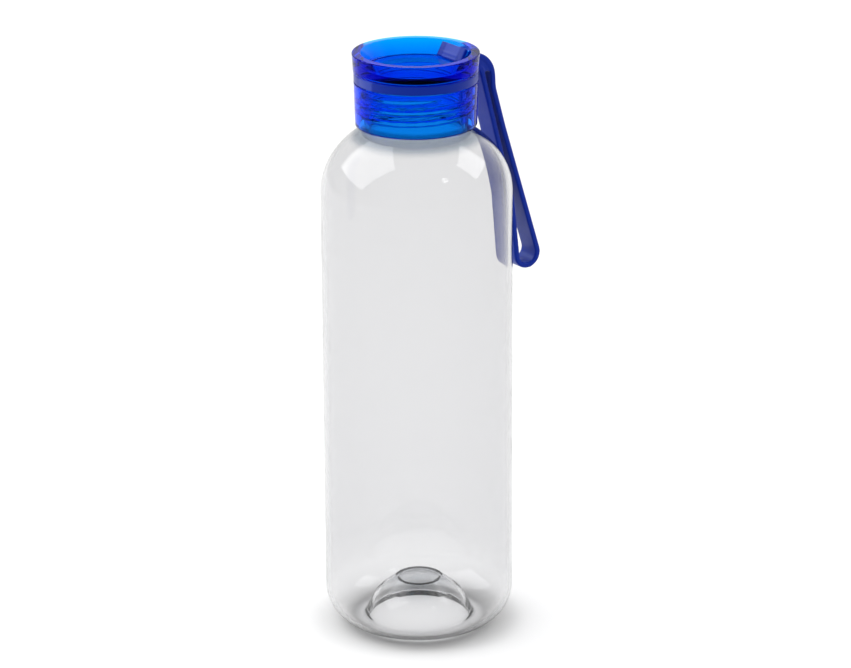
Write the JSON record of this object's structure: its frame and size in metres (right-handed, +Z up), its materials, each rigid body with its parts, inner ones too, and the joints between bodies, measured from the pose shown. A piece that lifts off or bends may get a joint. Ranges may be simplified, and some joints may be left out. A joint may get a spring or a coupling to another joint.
{
  "type": "sports water bottle",
  "caption": "Tall clear drinking bottle with a rounded shoulder, a see-through screw lid with a recessed top, and a soft looped carry strap.",
  "frame": {"origin": "the bottle's axis where it meets the surface the bottle stands on", "axes": "+Z up the bottle's axis; +X towards the side where the strap hangs; +Y completes the right-handed set"},
  "size_m": [0.0834, 0.066, 0.2072],
  "materials": {
    "clear_plastic": "clear and glossy, moulded",
    "lid_plastic": "transparent blue, glossy, moulded",
    "strap_rubber": "soft translucent blue-violet elastomer, satin",
    "seal_silicone": "translucent white silicone, satin"
  },
  "bodies": {
    "bottle": {"bottle_body": "clear_plastic"},
    "seal": {"lid_seal": "seal_silicone"},
    "lid": {"screw_lid": "lid_plastic", "strap_ring": "strap_rubber", "strap_anchor": "strap_rubber"},
    "strap": {"strap_loop": "strap_rubber"}
  },
  "joints": [
    {"name": "lid_lift", "type": "slide", "parent": "bottle", "child": "seal", "axis": [0, 0, 1], "range_m": [0, 0.01802]},
    {"name": "lid_turn", "type": "hinge", "parent": "seal", "child": "lid", "pos_m": [0, 0, 0.19], "axis": [0, 0, 1], "range_deg": [0, 1800]},
    {"name": "strap_swing", "type": "hinge", "parent": "lid", "child": "strap", "pos_m": [0.0257, 0, 0.1978], "axis": [0, -1, 0], "range_deg": [0, 160]}
  ],
  "couplings": [
    {"joint": "lid_lift", "follows": "lid_turn", "m_per_rad": 0.00057296}
  ]
}
